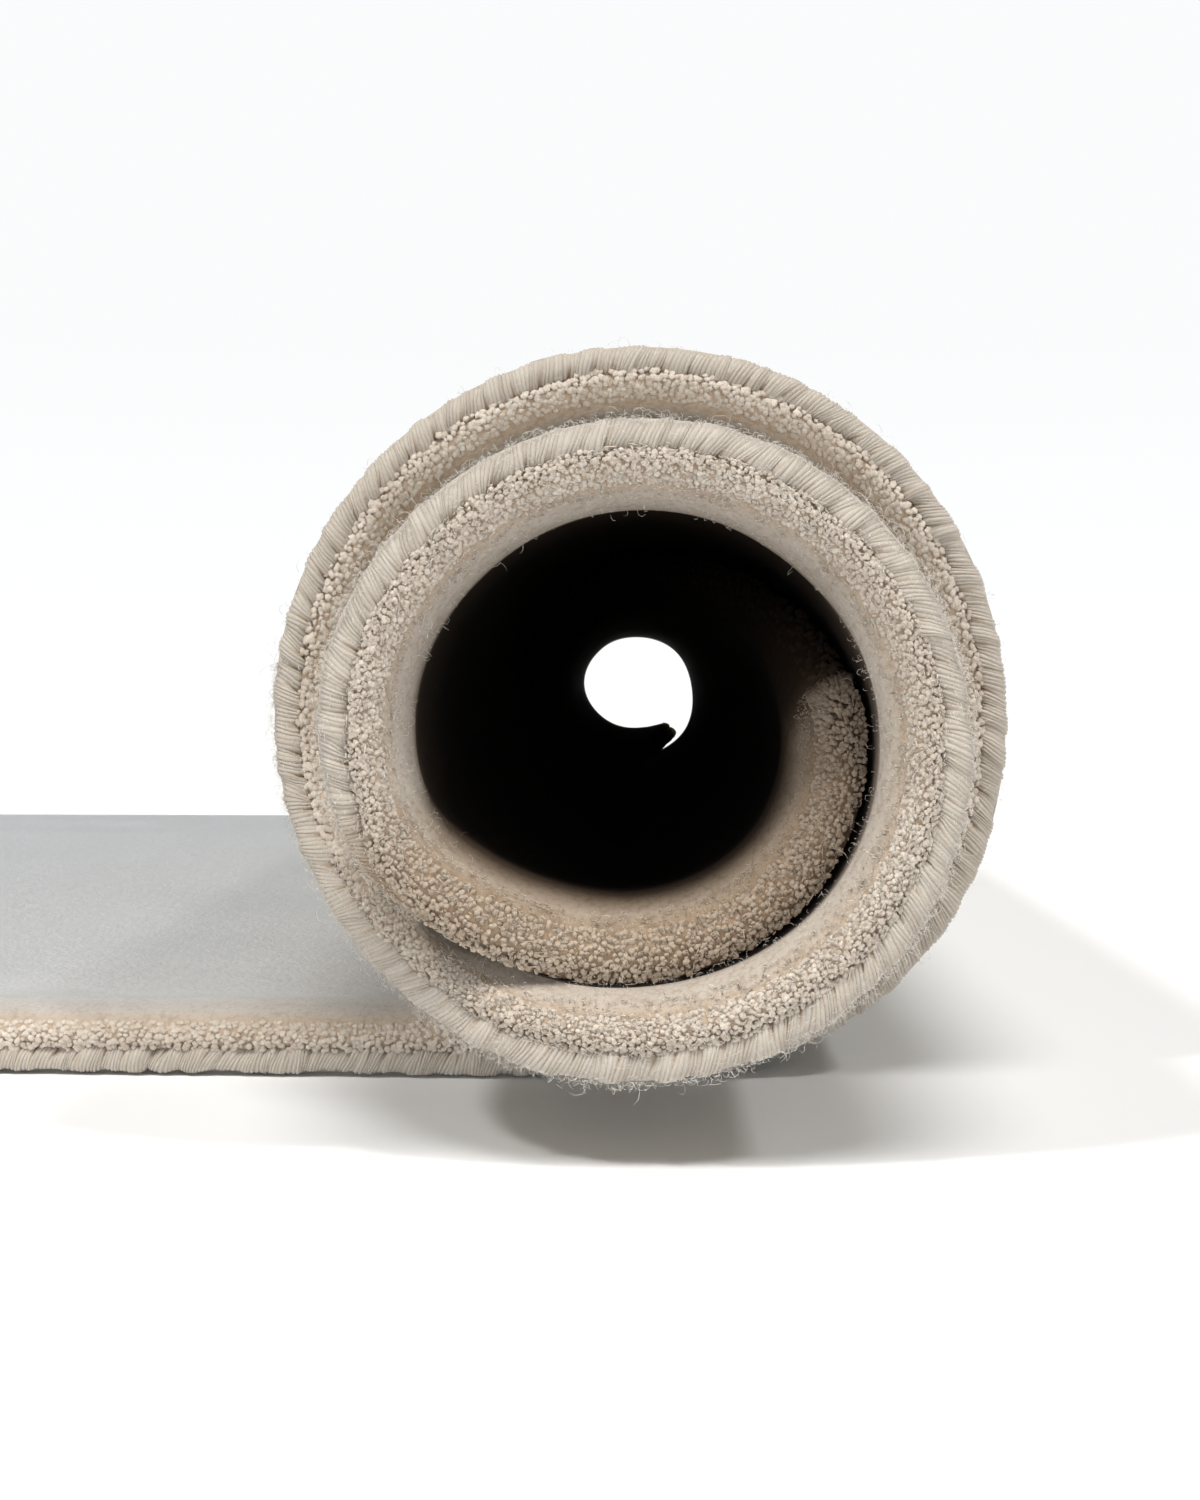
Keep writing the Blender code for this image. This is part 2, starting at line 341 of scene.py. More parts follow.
# A matt material of one colour, to start from.
def newMaterial(name, colour, roughness, sheen=0.0, sheenRoughness=0.5, sheenTint=(1.0, 0.97, 0.93, 1.0)):
    material = bpy.data.materials.new(name)
    material.use_nodes = True
    tree = material.node_tree
    shader = tree.nodes["Principled BSDF"]
    for socket, value in (
        ("Base Color", (*colour, 1.0)), ("Roughness", roughness), ("Specular IOR Level", 0.12),
        ("Sheen Weight", sheen), ("Sheen Roughness", sheenRoughness), ("Sheen Tint", sheenTint),
    ):
        shader.inputs[socket].default_value = value
    return material, tree, shader


# A node with some of its properties or inputs set; an underscore stands for a space.
def addNode(tree, kind, **settings):
    node = tree.nodes.new(kind)
    for name, value in settings.items():
        if hasattr(node, name):
            setattr(node, name, value)
        else:
            node.inputs[name.replace("_", " ")].default_value = value
    return node


# The wool's place on the flat rug.
def addFlatPlace(tree):
    return addNode(tree, "ShaderNodeUVMap", uv_map="flat").outputs["UV"]


# A value that the mesh carries at each point.
def addAttribute(tree, name, output="Fac"):
    return addNode(tree, "ShaderNodeAttribute", attribute_name=name).outputs[output]


# Cloudy noise of a scale, read at the given places.
def addNoise(tree, places, scale, detail, roughness=0.5):
    noise = addNode(tree, "ShaderNodeTexNoise", Scale=scale, Detail=detail, Roughness=roughness)
    join(places, noise.inputs["Vector"])
    return noise.outputs["Fac"]


# Colours by a value: straight between the stops.
def addRamp(tree, source, stops):
    ramp = tree.nodes.new("ShaderNodeValToRGB")
    while len(ramp.color_ramp.elements) < len(stops):
        ramp.color_ramp.elements.new(0.5)
    for element, (position, colour) in zip(ramp.color_ramp.elements, stops):
        element.position = position
        element.color = (*colour, 1.0)
    join(source, ramp.inputs["Fac"])
    return ramp.outputs["Color"]


# The product of colours, channel by channel.
def multiplyColours(tree, first, *others):
    for other in others:
        mix = tree.nodes.new("ShaderNodeMix")
        mix.data_type = "RGBA"
        mix.blend_type = "MULTIPLY"
        mix.inputs[0].default_value = 1.0
        join(first, mix.inputs[6])
        join(other, mix.inputs[7])
        first = mix.outputs[2]
    return first


# The surface's direction tilted by the slope of a value.
def addBump(tree, shader, source, strength, distance, after=None):
    bump = addNode(tree, "ShaderNodeBump", Strength=strength, Distance=distance)
    join(source, bump.inputs["Height"])
    if after is not None:
        join(after, bump.inputs["Normal"])
    join(bump.outputs["Normal"], shader.inputs["Normal"])
    return bump.outputs["Normal"]


white = (1.0, 1.0, 1.0)
woolColours = {
    "tip": (0.56, 0.49, 0.412),
    "tipDark": (0.51, 0.43, 0.348),
    "tipPale": (0.66, 0.593, 0.51),
    "serging": (0.492, 0.44, 0.374),
    "backing": (0.47, 0.425, 0.355),
}


# The painted light and shade that each point carries multiplies the wool's colour, and a share of it is the
# sheen; where no share is given, the point's nap is the sheen.
def shadeWool(tree, shader, colour, sheen=None):
    shade = addAttribute(tree, "shade", "Color")
    join(multiplyColours(tree, colour, shade), shader.inputs["Base Color"])
    if sheen is None:
        join(addAttribute(tree, "nap"), shader.inputs["Sheen Weight"])
        return
    weaken = addNode(tree, "ShaderNodeMath", operation="MULTIPLY")
    weaken.inputs[1].default_value = sheen
    join(addAttribute(tree, "shade"), weaken.inputs[0])
    join(weaken.outputs[0], shader.inputs["Sheen Weight"])


# Wool from ramps: the product of a colour for each value, shaded, with the grain as a bump.
def dressWool(tree, shader, look, fine, names, after=None):
    ramps = [addRamp(tree, addAttribute(tree, name), look[name]) for name in names]
    if fine is not None:
        ramps.append(addRamp(tree, fine, look["grain"]))
        addBump(tree, shader, fine, *look["bump"], after=after)
    shadeWool(tree, shader, multiplyColours(tree, *ramps), look["sheen"])


# scales are cells to a metre, stops are a value and the colour there, and each bump is its
# strength and its depth in metres
pileLook = {
    "sheen": (0.8, 0.5, (0.93, 0.97, 1.0, 1.0)),  # weight, roughness, tint
    "cellScale": 880.0,  # a tuft is a little over a millimetre across
    "mottleScale": 140.0,
    "grainScale": 2600.0,
    # painted shade: darker between the tufts' cells
    "gaps": [(0.0, white), (0.5, (0.98, 0.975, 0.97)), (0.95, (0.8, 0.75, 0.69))],
    "patches": [(0.32, (0.47, 0.408, 0.34)), (0.64, (0.525, 0.468, 0.402))],
    "grain": [(0.25, (0.88, 0.86, 0.84)), (0.75, white)],
    "bumps": {"mottle": (0.5, 0.0009), "gaps": (0.5, 0.0005), "grain": (0.4, 0.0002)},
}


# Cut pile seen as a surface: mottled wool times cells of tufts, with painted shade between them, times a
# grain.
def pileMaterial():
    material, tree, shader = newMaterial("cutPile", woolColours["tip"], 0.95, *pileLook["sheen"])
    place = addFlatPlace(tree)
    cells = addNode(tree, "ShaderNodeTexVoronoi", Scale=pileLook["cellScale"], Randomness=0.95)
    join(place, cells.inputs["Vector"])
    mottle = addNoise(tree, place, pileLook["mottleScale"], 6.0, 0.65)
    fine = addNoise(tree, place, pileLook["grainScale"], 2.0)
    gaps = addRamp(tree, cells.outputs["Distance"], pileLook["gaps"])
    patches = addRamp(tree, mottle, pileLook["patches"])
    grain = addRamp(tree, fine, pileLook["grain"])
    shadeWool(tree, shader, multiplyColours(tree, patches, gaps, grain))
    direction = addBump(tree, shader, mottle, *pileLook["bumps"]["mottle"])
    direction = addBump(tree, shader, gaps, *pileLook["bumps"]["gaps"], after=direction)
    addBump(tree, shader, fine, *pileLook["bumps"]["grain"], after=direction)
    return material


tuftLook = {
    "sheen": 0.35,
    "grainScale": 3400.0,
    "upTuft": [  # painted shade from the root up: brown and dark low on the tuft, none at the tip
        (0.3, (0.98, 0.84, 0.7)), (0.6, (1.0, 0.96, 0.92)), (0.8, (1.0, 0.99, 0.98)), (1.0, white),
    ],
    "tint": [(0.0, woolColours["tipDark"]), (0.55, woolColours["tip"]), (1.0, woolColours["tipPale"])],
    "grain": [(0.3, (0.86, 0.82, 0.78)), (0.62, white)],
    "ownWay": 1.3,  # weight of the tuft's direction beside the surface's own
    "bump": (0.5, 0.00025),
}


# A single tuft: its own tint, times painted shade that darkens and browns it towards its root, full colour at
# its cut tip, times a grain.
def tuftMaterial():
    material, tree, shader = newMaterial("tuftWool", woolColours["tip"], 0.95, sheen=tuftLook["sheen"])
    place = addNode(tree, "ShaderNodeTexCoord").outputs["Object"]
    fine = addNoise(tree, place, tuftLook["grainScale"], 2.0)
    # light scatters through wool, so each tuft shades partly as if it faced the way it points:
    # the surface's direction plus a share of the tuft's own
    faces = addNode(tree, "ShaderNodeNewGeometry").outputs["Normal"]
    lean = addNode(tree, "ShaderNodeVectorMath", operation="MULTIPLY_ADD")
    lean.inputs[1].default_value = (tuftLook["ownWay"],) * 3
    join(addAttribute(tree, "axis", "Vector"), lean.inputs[0])
    join(faces, lean.inputs[2])
    unit = addNode(tree, "ShaderNodeVectorMath", operation="NORMALIZE")
    join(lean.outputs[0], unit.inputs[0])
    dressWool(tree, shader, tuftLook, fine, ["tint", "upTuft"], after=unit.outputs[0])
    return material


sergingLook = {
    "sheen": 0.35,
    "stretch": (7000.0, 900.0, 1.0),  # noise cells to a metre: across the strands, along them
    "tint": [(0.0, (0.418, 0.368, 0.312)), (0.5, woolColours["serging"]), (1.0, (0.525, 0.48, 0.424))],
    # painted shade in the valleys between strands
    "grooveShade": [(0.0, (0.82, 0.76, 0.7)), (0.4, white)],
    "grain": [(0.28, (0.84, 0.81, 0.78)), (0.6, white)],
    "bump": (0.6, 0.0002),
}


# Overcast yarn: each strand's own cream, times painted shade in the grooves between strands, times fibres
# along it.
def sergingMaterial():
    material, tree, shader = newMaterial(
        "overcastYarn", woolColours["serging"], 0.9, sheen=sergingLook["sheen"], sheenRoughness=0.45
    )
    stretch = addNode(tree, "ShaderNodeMapping", Scale=sergingLook["stretch"])
    join(addFlatPlace(tree), stretch.inputs["Vector"])
    fine = addNoise(tree, stretch.outputs["Vector"], 1.0, 3.0)
    dressWool(tree, shader, sergingLook, fine, ["tint", "grooveShade"])
    return material


backingLook = {
    "threadScale": 230.0,
    "wobble": (1.2, 0.4),  # how much the threads wander, and how finely
    "blotchScale": 25.0,
    # painted shade where the threads dip
    "threads": [(0.15, (0.62, 0.57, 0.5)), (0.75, white)],
    "blotches": [(0.3, (0.43, 0.385, 0.315)), (0.7, woolColours["backing"])],
    "bump": (0.7, 0.0004),
}


# Plain woven backing: the higher of two waves that cross, as threads over and under, with painted shade where
# they dip.
def backingMaterial():
    material, tree, shader = newMaterial("wovenBacking", woolColours["backing"], 0.92, sheen=0.12)
    place = addFlatPlace(tree)
    threads = addNode(tree, "ShaderNodeMath", operation="MAXIMUM")
    distortion, detail = backingLook["wobble"]
    for socket, direction in zip(threads.inputs, ("X", "Y")):
        wave = addNode(
            tree, "ShaderNodeTexWave", wave_type="BANDS", bands_direction=direction,
            Scale=backingLook["threadScale"], Distortion=distortion, Detail_Scale=detail,
        )
        join(place, wave.inputs["Vector"])
        join(wave.outputs["Fac"], socket)
    blotch = addNoise(tree, place, backingLook["blotchScale"], 6.0, 0.65)
    shade = addRamp(tree, threads.outputs[0], backingLook["threads"])
    worn = addRamp(tree, blotch, backingLook["blotches"])
    join(multiplyColours(tree, worn, shade), shader.inputs["Base Color"])
    addBump(tree, shader, threads.outputs[0], *backingLook["bump"])
    return material


fibreLook = {"sheen": 0.2, "tint": [(0.0, (0.6, 0.54, 0.46)), (1.0, (0.74, 0.7, 0.64))]}


# Loose fibres: each one's own pale tint.
def fibreMaterial():
    material, tree, shader = newMaterial("looseFibre", (0.72, 0.68, 0.62), 0.7, sheen=fibreLook["sheen"])
    dressWool(tree, shader, fibreLook, None, ["tint"])
    return material


cutPile, tuftWool, overcastYarn, wovenBacking, looseFibre = (
    pileMaterial(), tuftMaterial(), sergingMaterial(), backingMaterial(), fibreMaterial()
)
darkFibre = newMaterial("darkFibre", (0.035, 0.03, 0.026), 0.7)[0]
print("materials made")


# Painted light and shade laid into the wool's colour, by its place on the rug.
shading = {
    "covered": (556.0, 22.0),  # degrees of roll over which tufts come to hide the overcast edge
    "nearHalf": 0.35,  # across the rug: the tube is dressed for a look from its near end
    "innerAngles": [575.0, 625.0, 690.0, 750.0, 820.0],
    "innerLight": [1.0, 0.92, 0.76, 0.72, 0.66],
    "deepPlaces": [0.007, 0.011, 0.015, 0.02, 0.028, 0.045, 0.12],  # in from the edge
    "deepLight": [1.04, 1.0, 0.84, 0.48, 0.18, 0.09, 0.04],
    "innerHaste": 1.1,  # the inner turns darken that much sooner
    "rolledUp": (235.0, 60.0),  # degrees of roll over which the depth begins to count
    # painted light on the flat part, fading out towards the roll
    "tailPlaces": [-0.06, 0.02],
    "tailPaintedLight": [0.46, 0.0],
    "tailFrom": 0.01,  # in from the edge, where the flat part's painted light starts
    "browning": np.array([1.0, 1.12, 1.25]),  # powers for red, green and blue
    # painted brown shade on the inner turns, where tufts cover the overcast edge
    "innerShadeBrown": np.array([0.2, 0.25, 0.31]),
}


# How far the overcast edge is lost among tufts: fully so on the inner turns near the front.
def coveredAt(along, across):
    return rise(angleAt(along), *shading["covered"]) * (across < shading["nearHalf"])


# Painted light and shade by the wool's place: dim and browner on the inner turns, nearly black deep in the
# tube, and brighter on the flat part. The turn's light times the depth's, times the flat part's painted
# light, raised to a higher power for green and blue, so that dimmer is also browner, times a painted brown
# shade on the inner turns.
def shadeAt(along, across):
    angle = angleAt(along)
    inner = np.interp(angle, shading["innerAngles"], shading["innerLight"])
    inner = np.where(across < shading["nearHalf"], inner, 0.5 + 0.5 * inner)
    fromEdge = np.minimum(across, rugShape["width"] - across)
    covered = coveredAt(along, across)
    lit = rise(fromEdge, shading["tailFrom"], shading["tailFrom"])
    fromEdge = fromEdge * (1.0 + shading["innerHaste"] * covered)
    deep = np.interp(fromEdge, shading["deepPlaces"], shading["deepLight"])
    shade = inner * (1.0 + (deep - 1.0) * rise(angle, *shading["rolledUp"]))
    shade = shade * (1.0 + np.interp(along, shading["tailPlaces"], shading["tailPaintedLight"]) * lit)
    warm = 1.0 - covered[..., None] * shading["innerShadeBrown"]
    return shade[..., None] ** shading["browning"] * warm


# the rug's body: underside, rim and pile surface in one closed shell

bodyParts = {
    "rollStep": 3.0,  # degrees of roll to a row
    "tailRows": 44,
    "endRows": 120,
    "acrossLines": 56,
    "cornerRows": 5,
    "swell": 0.0003,  # soft unevenness of the pile's surface
    "underInset": 0.0055,
    "topInset": 0.02,
    "topHeight": 0.0146,
    "rimGapShade": np.array([0.04, 0.15, 0.26]),  # painted shade between the tufts, its brown taken from the wool's colour
    "rimReach": (0.0048, -0.0034),  # where that painted shade ends, and how far from there it is full
}

# The rim's own rings lie just under the tufts' tips: up the edge, then in over the pile.
rimRings = [
    (0.0055, 0.004), (0.0016, 0.0056), (0.0002, 0.0076), (0.0005, 0.0097),
    (0.0018, 0.0115), (0.0047, 0.013), (0.0092, 0.014), (0.0148, 0.0145),
]

# The tuft tips beside the rim, from the top of the serging round to the flat pile:
# how far in from the rim, and how high.
tipProfile = np.array([
    (0.0003, 0.0052), (-0.0005, 0.0072), (-0.0001, 0.0096),
    (0.0012, 0.0116), (0.0042, 0.0132), (0.009, 0.0143),
    (0.015, 0.0148), (0.021, 0.0146), (0.03, 0.0145),
])


tipGaps = np.hypot(*np.diff(tipProfile, axis=0).T)
tipWalk = np.concatenate([[0.0], np.cumsum(tipGaps)])
tipStep = 0.0003


# The profile read at a distance along it, with its outward direction: square to the line from
# there to a point one small step on.
def tipAt(walk):
    inset, height = (smoothBetween(tipWalk, tipProfile[:, column], walk) for column in (0, 1))
    insetOn, heightOn = (
        smoothBetween(tipWalk, tipProfile[:, column], walk + tipStep) for column in (0, 1)
    )
    size = np.hypot(insetOn - inset, heightOn - height) + 1e-9
    return inset, height, -(heightOn - height) / size, (insetOn - inset) / size


pileShape = {
    "edgeHeight": 0.006,  # only what stands higher than the overcast edge is pressed
    "looseHeight": 0.0145,
    "lowering": 0.0047,  # on the inner turns, where the tufts come down over the edge
    "loweredFrom": (0.0142, -0.0083),
    "loweredTo": (0.0038, 0.001),
    "least": 0.0004,
    "looseFrom": (375.0, 25.0),  # degrees of roll where nothing presses the pile
    "crest": (0.0009, 0.019, 0.009),  # height of a ridge, how far in it lies, its half width
    "sunk": 0.0016,
    "sunkNear": (0.032, 0.03),
    "sunkFar": (0.34, -0.2),
    "heldFrom": (228.0, 15.0),  # degrees of roll where the outer turn holds the ring
    "lip": (0.0015, 0.0085, 0.006),
    "surface": 0.0128,  # ridges and hollows are for what lies above this
}


# A ridge: its height times e to the minus square of the distance over its half width.
def ridge(across, high, place, halfWidth):
    return high * np.exp(-(((across - place) / halfWidth) ** 2))


# Pressed pile is lower than loose pile: heights above the overcast edge scale with the thickness.
# Loose pile beside the near edge swells a little, and sinks again deeper in the tube.
def pressed(along, height, across):
    edge = pileShape["edgeHeight"]
    room = (thicknessAt(along) - edge) / (pileShape["looseHeight"] - edge)
    high = np.where(height > edge, edge + (height - edge) * room, height)
    lowered = pileShape["lowering"] * coveredAt(along, across) * rise(height, *pileShape["loweredFrom"])
    lowered = lowered * rise(height, *pileShape["loweredTo"])
    high = np.maximum(high - lowered, np.minimum(high, pileShape["least"]))
    angle = angleAt(along)
    loose = rise(angle, *pileShape["looseFrom"])
    sunk = pileShape["sunk"] * rise(across, *pileShape["sunkNear"]) * rise(across, *pileShape["sunkFar"])
    held = rise(angle, *pileShape["heldFrom"]) * (1.0 - loose)
    change = loose * (ridge(across, *pileShape["crest"]) - sunk) + held * ridge(across, *pileShape["lip"])
    return high + change * (high > pileShape["surface"])


# The body's grid on the flat rug at an inset from its rim: rows for the tail's corners, the flat
# part, the roll, the part where the inner end is cut on a slant, and that end's corners. At a
# corner the rows draw in by the radius times one less the sine of the turn.
def bodyRows(inset):
    width, corner = rugShape["width"], max(rugShape["cornerRadius"] - inset, 0.001)
    bends = np.radians(np.linspace(0.0, 90.0, bodyParts["cornerRows"] + 1))
    drawIn, stepIn = corner * (1.0 - np.sin(bends)), corner * (1.0 - np.cos(bends))
    even = np.linspace(0.0, 1.0, bodyParts["acrossLines"])
    bunched = (1.0 - np.cos(np.linspace(0.0, math.pi, bodyParts["acrossLines"]))) / 2
    lines = 0.6 * even + 0.4 * bunched
    rollAngles = np.arange(-90.0, rugShape["fanAngle"] + 0.1, bodyParts["rollStep"])
    tailShare = np.arange(1, bodyParts["tailRows"] + 1)[:, None] / (bodyParts["tailRows"] + 1)
    endShare = np.arange(1, bodyParts["endRows"] + 1)[:, None] / bodyParts["endRows"]
    middleRows = len(tailShare) + len(rollAngles) + len(endShare)
    drawn = np.concatenate([drawIn, np.zeros(middleRows), drawIn[::-1][1:]]) + inset
    across = drawn[:, None] + (width - 2 * drawn[:, None]) * lines
    tailCorners, tail, roll, end, endCorners = np.split(
        across, np.cumsum([len(bends), len(tailShare), len(rollAngles), len(endShare)])
    )
    fanStart = alongOf(rugShape["fanAngle"])
    along = np.concatenate([
        tailEnd(tailCorners) + inset + stepIn[:, None],
        (tailEnd(tail) + inset + corner) * (1.0 - tailShare),
        np.broadcast_to(alongOf(rollAngles)[:, None], roll.shape),
        fanStart + endShare * (innerEnd(end) - inset - corner - fanStart),
        innerEnd(endCorners) - inset - stepIn[::-1][1:, None],
    ])
    return along, across


# The grid's outermost points in order: near side, inner end, far side, tail end.
def rimOrder(rows, lines):
    row, line = np.arange(rows), np.arange(lines)
    rimRow = [row, np.full(lines - 1, rows - 1), row[-2::-1], np.zeros(lines - 2, dtype=int)]
    rimLine = [np.zeros(rows, dtype=int), line[1:], np.full(rows - 1, lines - 1), line[-2:0:-1]]
    return np.concatenate(rimRow), np.concatenate(rimLine)


# The rug as one closed shell: underside, rings up round the rim, and pile surface, whose height
# is the pressed pile's plus a soft swell.
def makeBody():
    underAlong, underAcross = bodyRows(bodyParts["underInset"])
    under = rolled(underAlong, underAcross, np.zeros_like(underAlong))
    rows, lines = underAlong.shape
    rimRow, rimLine = rimOrder(rows, lines)
    topAlong, topAcross = bodyRows(bodyParts["topInset"])
    swell = softNoise(topAlong, 0.045, 11, topAcross) + 0.6 * softNoise(topAlong, 0.016, 12, topAcross)
    topHeight = pressed(topAlong, bodyParts["topHeight"], topAcross)
    top = rolled(topAlong, topAcross, topHeight + bodyParts["swell"] * swell - 0.0002)
    points = [under, top]
    uv = [np.stack([underAlong, underAcross], -1), np.stack([topAlong, topAcross], -1)]
    underIndex = np.arange(rows * lines).reshape(rows, lines)
    topIndex = underIndex + rows * lines
    rings = [underIndex[rimRow, rimLine]]
    start = 2 * rows * lines
    for inset, height in rimRings:
        along, across = bodyRows(inset)
        along, across = along[rimRow, rimLine], across[rimRow, rimLine]
        points.append(rolled(along, across, pressed(along, height, across)))
        uv.append(np.stack([along, across], -1))
        rings.append(np.arange(start, start + len(along)))
        start += len(along)
    rings.append(topIndex[rimRow, rimLine])
    topFaces = gridFaces(rows, lines, start=rows * lines)
    underFaces = gridFaces(rows, lines, flip=True)
    bands = [
        np.stack([lower, np.roll(lower, -1), np.roll(upper, -1), upper], -1)
        for lower, upper in zip(rings, rings[1:])
    ]
    faces = np.concatenate([topFaces, *bands, underFaces])
    uv = np.concatenate([part.reshape(-1, 2) for part in uv])
    along, across = uv.T
    shade = shadeAt(along, across)
    fromRim = np.minimum.reduce(
        [across, rugShape["width"] - across, along - tailEnd(across), innerEnd(across) - along]
    )
    # painted shade between the tufts, near the rim
    shade *= 1.0 - rise(fromRim, *bodyParts["rimReach"])[:, None] * bodyParts["rimGapShade"]
    nap = np.interp(along, [-0.1, 0.0], [1.0, 0.12]) * shade[:, 0]  # sheen, mostly on the flat part, dimmed with the painted shade
    piece = addPiece(
        "rugBody", np.concatenate([part.reshape(-1, 3) for part in points]), [faces],
        [cutPile, wovenBacking], uv=uv, shades={"shade": shade, "nap": nap},
    )
    slots = np.zeros(len(faces), dtype=np.int32)
    slots[len(faces) - len(underFaces):] = 1
    piece.data.polygons.foreach_set("material_index", slots)
    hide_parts("rug")
    return piece


rugBody = makeBody()


# the overcast edge: strands of yarn laid side by side over the rim

sergingShape = {
    "pitch": 0.00074,  # one strand to the next
    "lean": 0.42,  # how far a strand slants as it goes over the edge
    "relief": 0.00016,  # height of a strand above the valleys beside it
    "bulge": 0.00055,  # soft pillows of a few strands
    "crease": 0.0008,  # depth of the creases between those pillows
    "bow": 0.00022,  # how far a strand curves on its way over the edge
    "lowered": 0.62,  # share of its height lost where tufts come down over it
    "drawnIn": 0.0024,  # how far it lies further in there
    "brown": np.array([0.25, 0.38, 0.5]),  # painted shade taken from its colour where tufts cover it
    # painted shade in the creases between pillows
    "creasePaintedShade": np.array([0.3, 0.45, 0.58]),
}

# in from the rim, up from the underside, and how much a strand stands out there
sergingProfile = np.array([
    (0.006, 0.0003, 0.3), (0.004, 0.0004, 0.8), (0.002, 0.0005, 1),
    (0.0008, 0.0012, 1), (0.0003, 0.0023, 1), (0.0002, 0.0034, 1),
    (0.0004, 0.0046, 1), (0.0011, 0.0056, 1), (0.0024, 0.0062, 0.6),
    (0.005, 0.0055, 0),
])


# rows to a strand: how far over its width each lies, and how high it stands
strandSections = {
    4: ((0.0, -1.0), (0.2, 0.5), (0.5, 1.0), (0.8, 0.5)),
    2: ((0.0, -1.0), (0.5, 1.0)),
}


# A tube round the rim: rows follow the strands, four to a strand where it shows and two elsewhere;
# each point is pushed out along the section's own outward direction by strand and pillow relief,
# less the creases. On the inner turns the band lies lower, its upper part lost among the tufts.
def makeSerging(name, start, stop, rowsToStrand, seed, coarse=1.0):
    strands = int((stop - start) / (sergingShape["pitch"] * coarse))
    random = np.random.default_rng(seed)
    rows = strands * rowsToStrand + 1
    row = np.arange(rows)
    strand = np.minimum(row // rowsToStrand, strands - 1)
    part = row % rowsToStrand
    within, lift = np.array(strandSections[rowsToStrand])[part].T
    count = row // rowsToStrand + within
    strength = (0.55 + 0.9 * random.random(strands))[strand]
    wander = softNoise(count, 5.0, seed + 1) * 0.55 + softNoise(count, 1.7, seed + 2) * 0.3
    distance = start + (count + wander) * (stop - start) / strands
    inset, height, show = sergingProfile.T
    tangentInset = np.roll(inset, -1) - np.roll(inset, 1)
    tangentHeight = np.roll(height, -1) - np.roll(height, 1)
    size = np.hypot(tangentInset, tangentHeight)
    outInset, outHeight = -tangentHeight / size, tangentInset / size
    slant = 1.0 + 0.55 * softNoise(count, 6.0, seed + 3) + 0.3 * softNoise(count, 2.0, seed + 7)
    slant = sergingShape["lean"] * slant
    overEdge = np.sin(rise(height, 0.0, 0.006) * math.pi)
    bow = sergingShape["bow"] * softNoise(count, 3.0, seed + 8)[:, None] * overEdge
    reach = distance[:, None] + slant[:, None] * (height - 0.003) + bow
    pillow = softNoise(count, 4.3, seed + 4) + 0.5 * softNoise(count, 1.9, seed + 5)
    # every few strands a crease, deepest at the upper, inner side, where its painted shade is darkest and
    # brownest
    edges = np.cumsum(random.integers(3, 8, strands) + random.random(strands))
    nearest = np.searchsorted(edges, count)
    fromCrease = np.minimum(
        np.abs(count - edges[nearest]), np.abs(count - edges[np.maximum(nearest - 1, 0)])
    )
    depth = (0.25 + 0.75 * random.random(strands))[np.clip(nearest, 0, strands - 1)]
    crease = ridge(fromCrease, depth, 0.0, 0.55)[:, None] * rise(height, 0.0022, 0.003)
    push = (
        -sergingShape["crease"] * crease
        + sergingShape["relief"] * lift[:, None] * strength[:, None] * show
        + sergingShape["bulge"] * pillow[:, None] * np.clip(show * 1.2 - 0.2, 0.0, 1.0)
    )
    # the strands' upper ends reach unevenly in between the first tufts
    tall = 0.0005 * softNoise(count, 3.6, seed + 6) + 0.00025 * softNoise(count, 1.0, seed + 9)
    tall = tall[:, None] * (height > 0.004)
    along, across = besideRim(distance, 0.0)
    covered = coveredAt(along, across)[:, None]
    lowered = 1.0 - sergingShape["lowered"] * covered
    heightAt = height * lowered + outHeight * push + tall * lowered
    insetAt = inset + outInset * push + sergingShape["drawnIn"] * covered
    points = placeByRim(reach, insetAt, np.maximum(heightAt, 0.00008))  # never through the floor
    lines = len(inset)
    faces = gridFaces(rows, lines, closeLines=True, flip=True)
    caps = np.array([np.arange(lines), (rows - 1) * lines + np.arange(lines)[::-1]])
    uv = np.stack([reach, np.broadcast_to(np.cumsum(size) / 2, reach.shape)], -1)
    tint = (0.5 + 0.16 * random.standard_normal(strands))[strand].clip(0, 1)
    # painted shade, browner still where tufts cover the edge
    shade = (shadeAt(along, across) * (1.0 - covered * sergingShape["brown"]))[:, None, :]
    shades = {
        "tint": np.repeat(tint, lines),
        "grooveShade": np.repeat(lift * 0.5 + 0.5, lines),
        # painted shade in the creases
        "shade": (shade * (1.0 - crease[:, :, None] * sergingShape["creasePaintedShade"])).reshape(-1, 3),
    }
    return addPiece(
        name, points, [faces, caps], [overcastYarn], uv=uv.reshape(-1, 2), shades=shades
    )


cornerRun = rugShape["cornerRadius"] * math.pi / 2
seamRun = 0.9 * cornerRun  # the two parts meet just short of the corners' ends
nearStop, restStop = rimPath["nearLength"] + seamRun, rimPath["length"] - seamRun
sergingNear = makeSerging("sergingNear", -seamRun, nearStop, 4, 21)
sergingRest = makeSerging("sergingRest", nearStop, restStop, 2, 31, coarse=1.4)
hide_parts("edge_serging")
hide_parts("edge_serging")


# tufts: each a short bundle of yarn with a frayed, rounded cut tip

tuftShape = {
    "along": 0.00086,  # between tufts of a row
    "rowGap": 0.00076,  # between rows
    "length": 0.0019,
    "radius": 0.0006,
    "jitter": 0.55,  # share of the spacing
    "bend": 0.0003,  # how far a tip strays sideways
    "rings": np.array([0.45, 0.9]),  # how far up a tuft its two rings lie
    "ringSizes": np.array([0.95, 0.9]),
    "notch": 0.0011,  # unevenness of the first rows, above the overcast edge
    "sinkFrom": (0.007, 0.0045),  # towards the flat pile the tips sink into it
}


